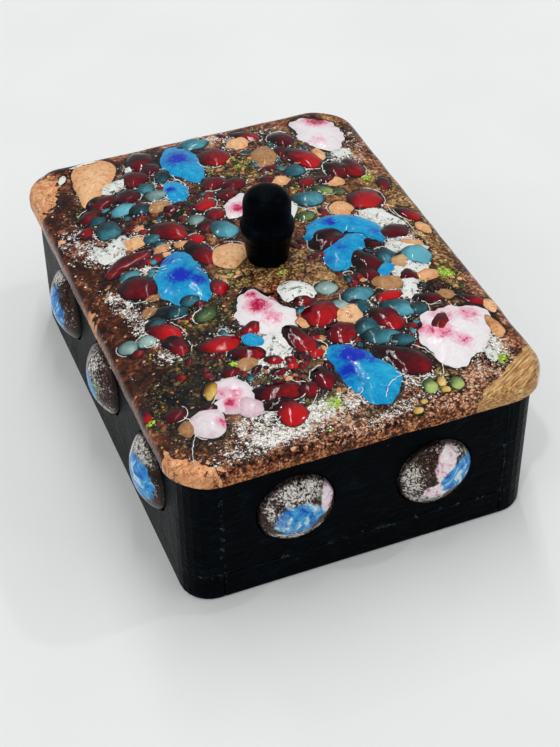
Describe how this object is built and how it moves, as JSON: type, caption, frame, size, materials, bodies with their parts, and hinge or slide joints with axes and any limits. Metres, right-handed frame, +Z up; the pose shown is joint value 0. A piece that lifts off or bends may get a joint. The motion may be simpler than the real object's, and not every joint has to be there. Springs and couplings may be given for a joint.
{
  "type": "enamel box",
  "caption": "Small rectangular wooden box with domed enamelled discs let into its sides and a lift-off enamelled copper lid with a turned knob.",
  "frame": {"origin": "middle of the box's underside", "axes": "+X to the right along the short front side, +Y to the back along the long sides, +Z up"},
  "size_m": [0.1, 0.1348, 0.0676],
  "materials": {
    "painted_wood": "brushed near-black paint with a low sheen",
    "lid_enamel": "glossy brown flux with fused glass lumps on copper",
    "disc_enamel": "glossy mottled enamel on copper"
  },
  "bodies": {
    "root": {"base_board": "painted_wood", "long_side_left": "painted_wood", "long_side_right": "painted_wood", "short_side_front": "painted_wood", "short_side_back": "painted_wood", "lid_plate": "lid_enamel", "knob": "painted_wood", "cabochon_front_1": "disc_enamel", "cabochon_front_2": "disc_enamel", "cabochon_left_1": "disc_enamel", "cabochon_left_2": "disc_enamel", "cabochon_left_3": "disc_enamel", "cabochon_back_1": "disc_enamel", "cabochon_back_2": "disc_enamel", "cabochon_right_1": "disc_enamel", "cabochon_right_2": "disc_enamel", "cabochon_right_3": "disc_enamel"}
  },
  "joints": []
}
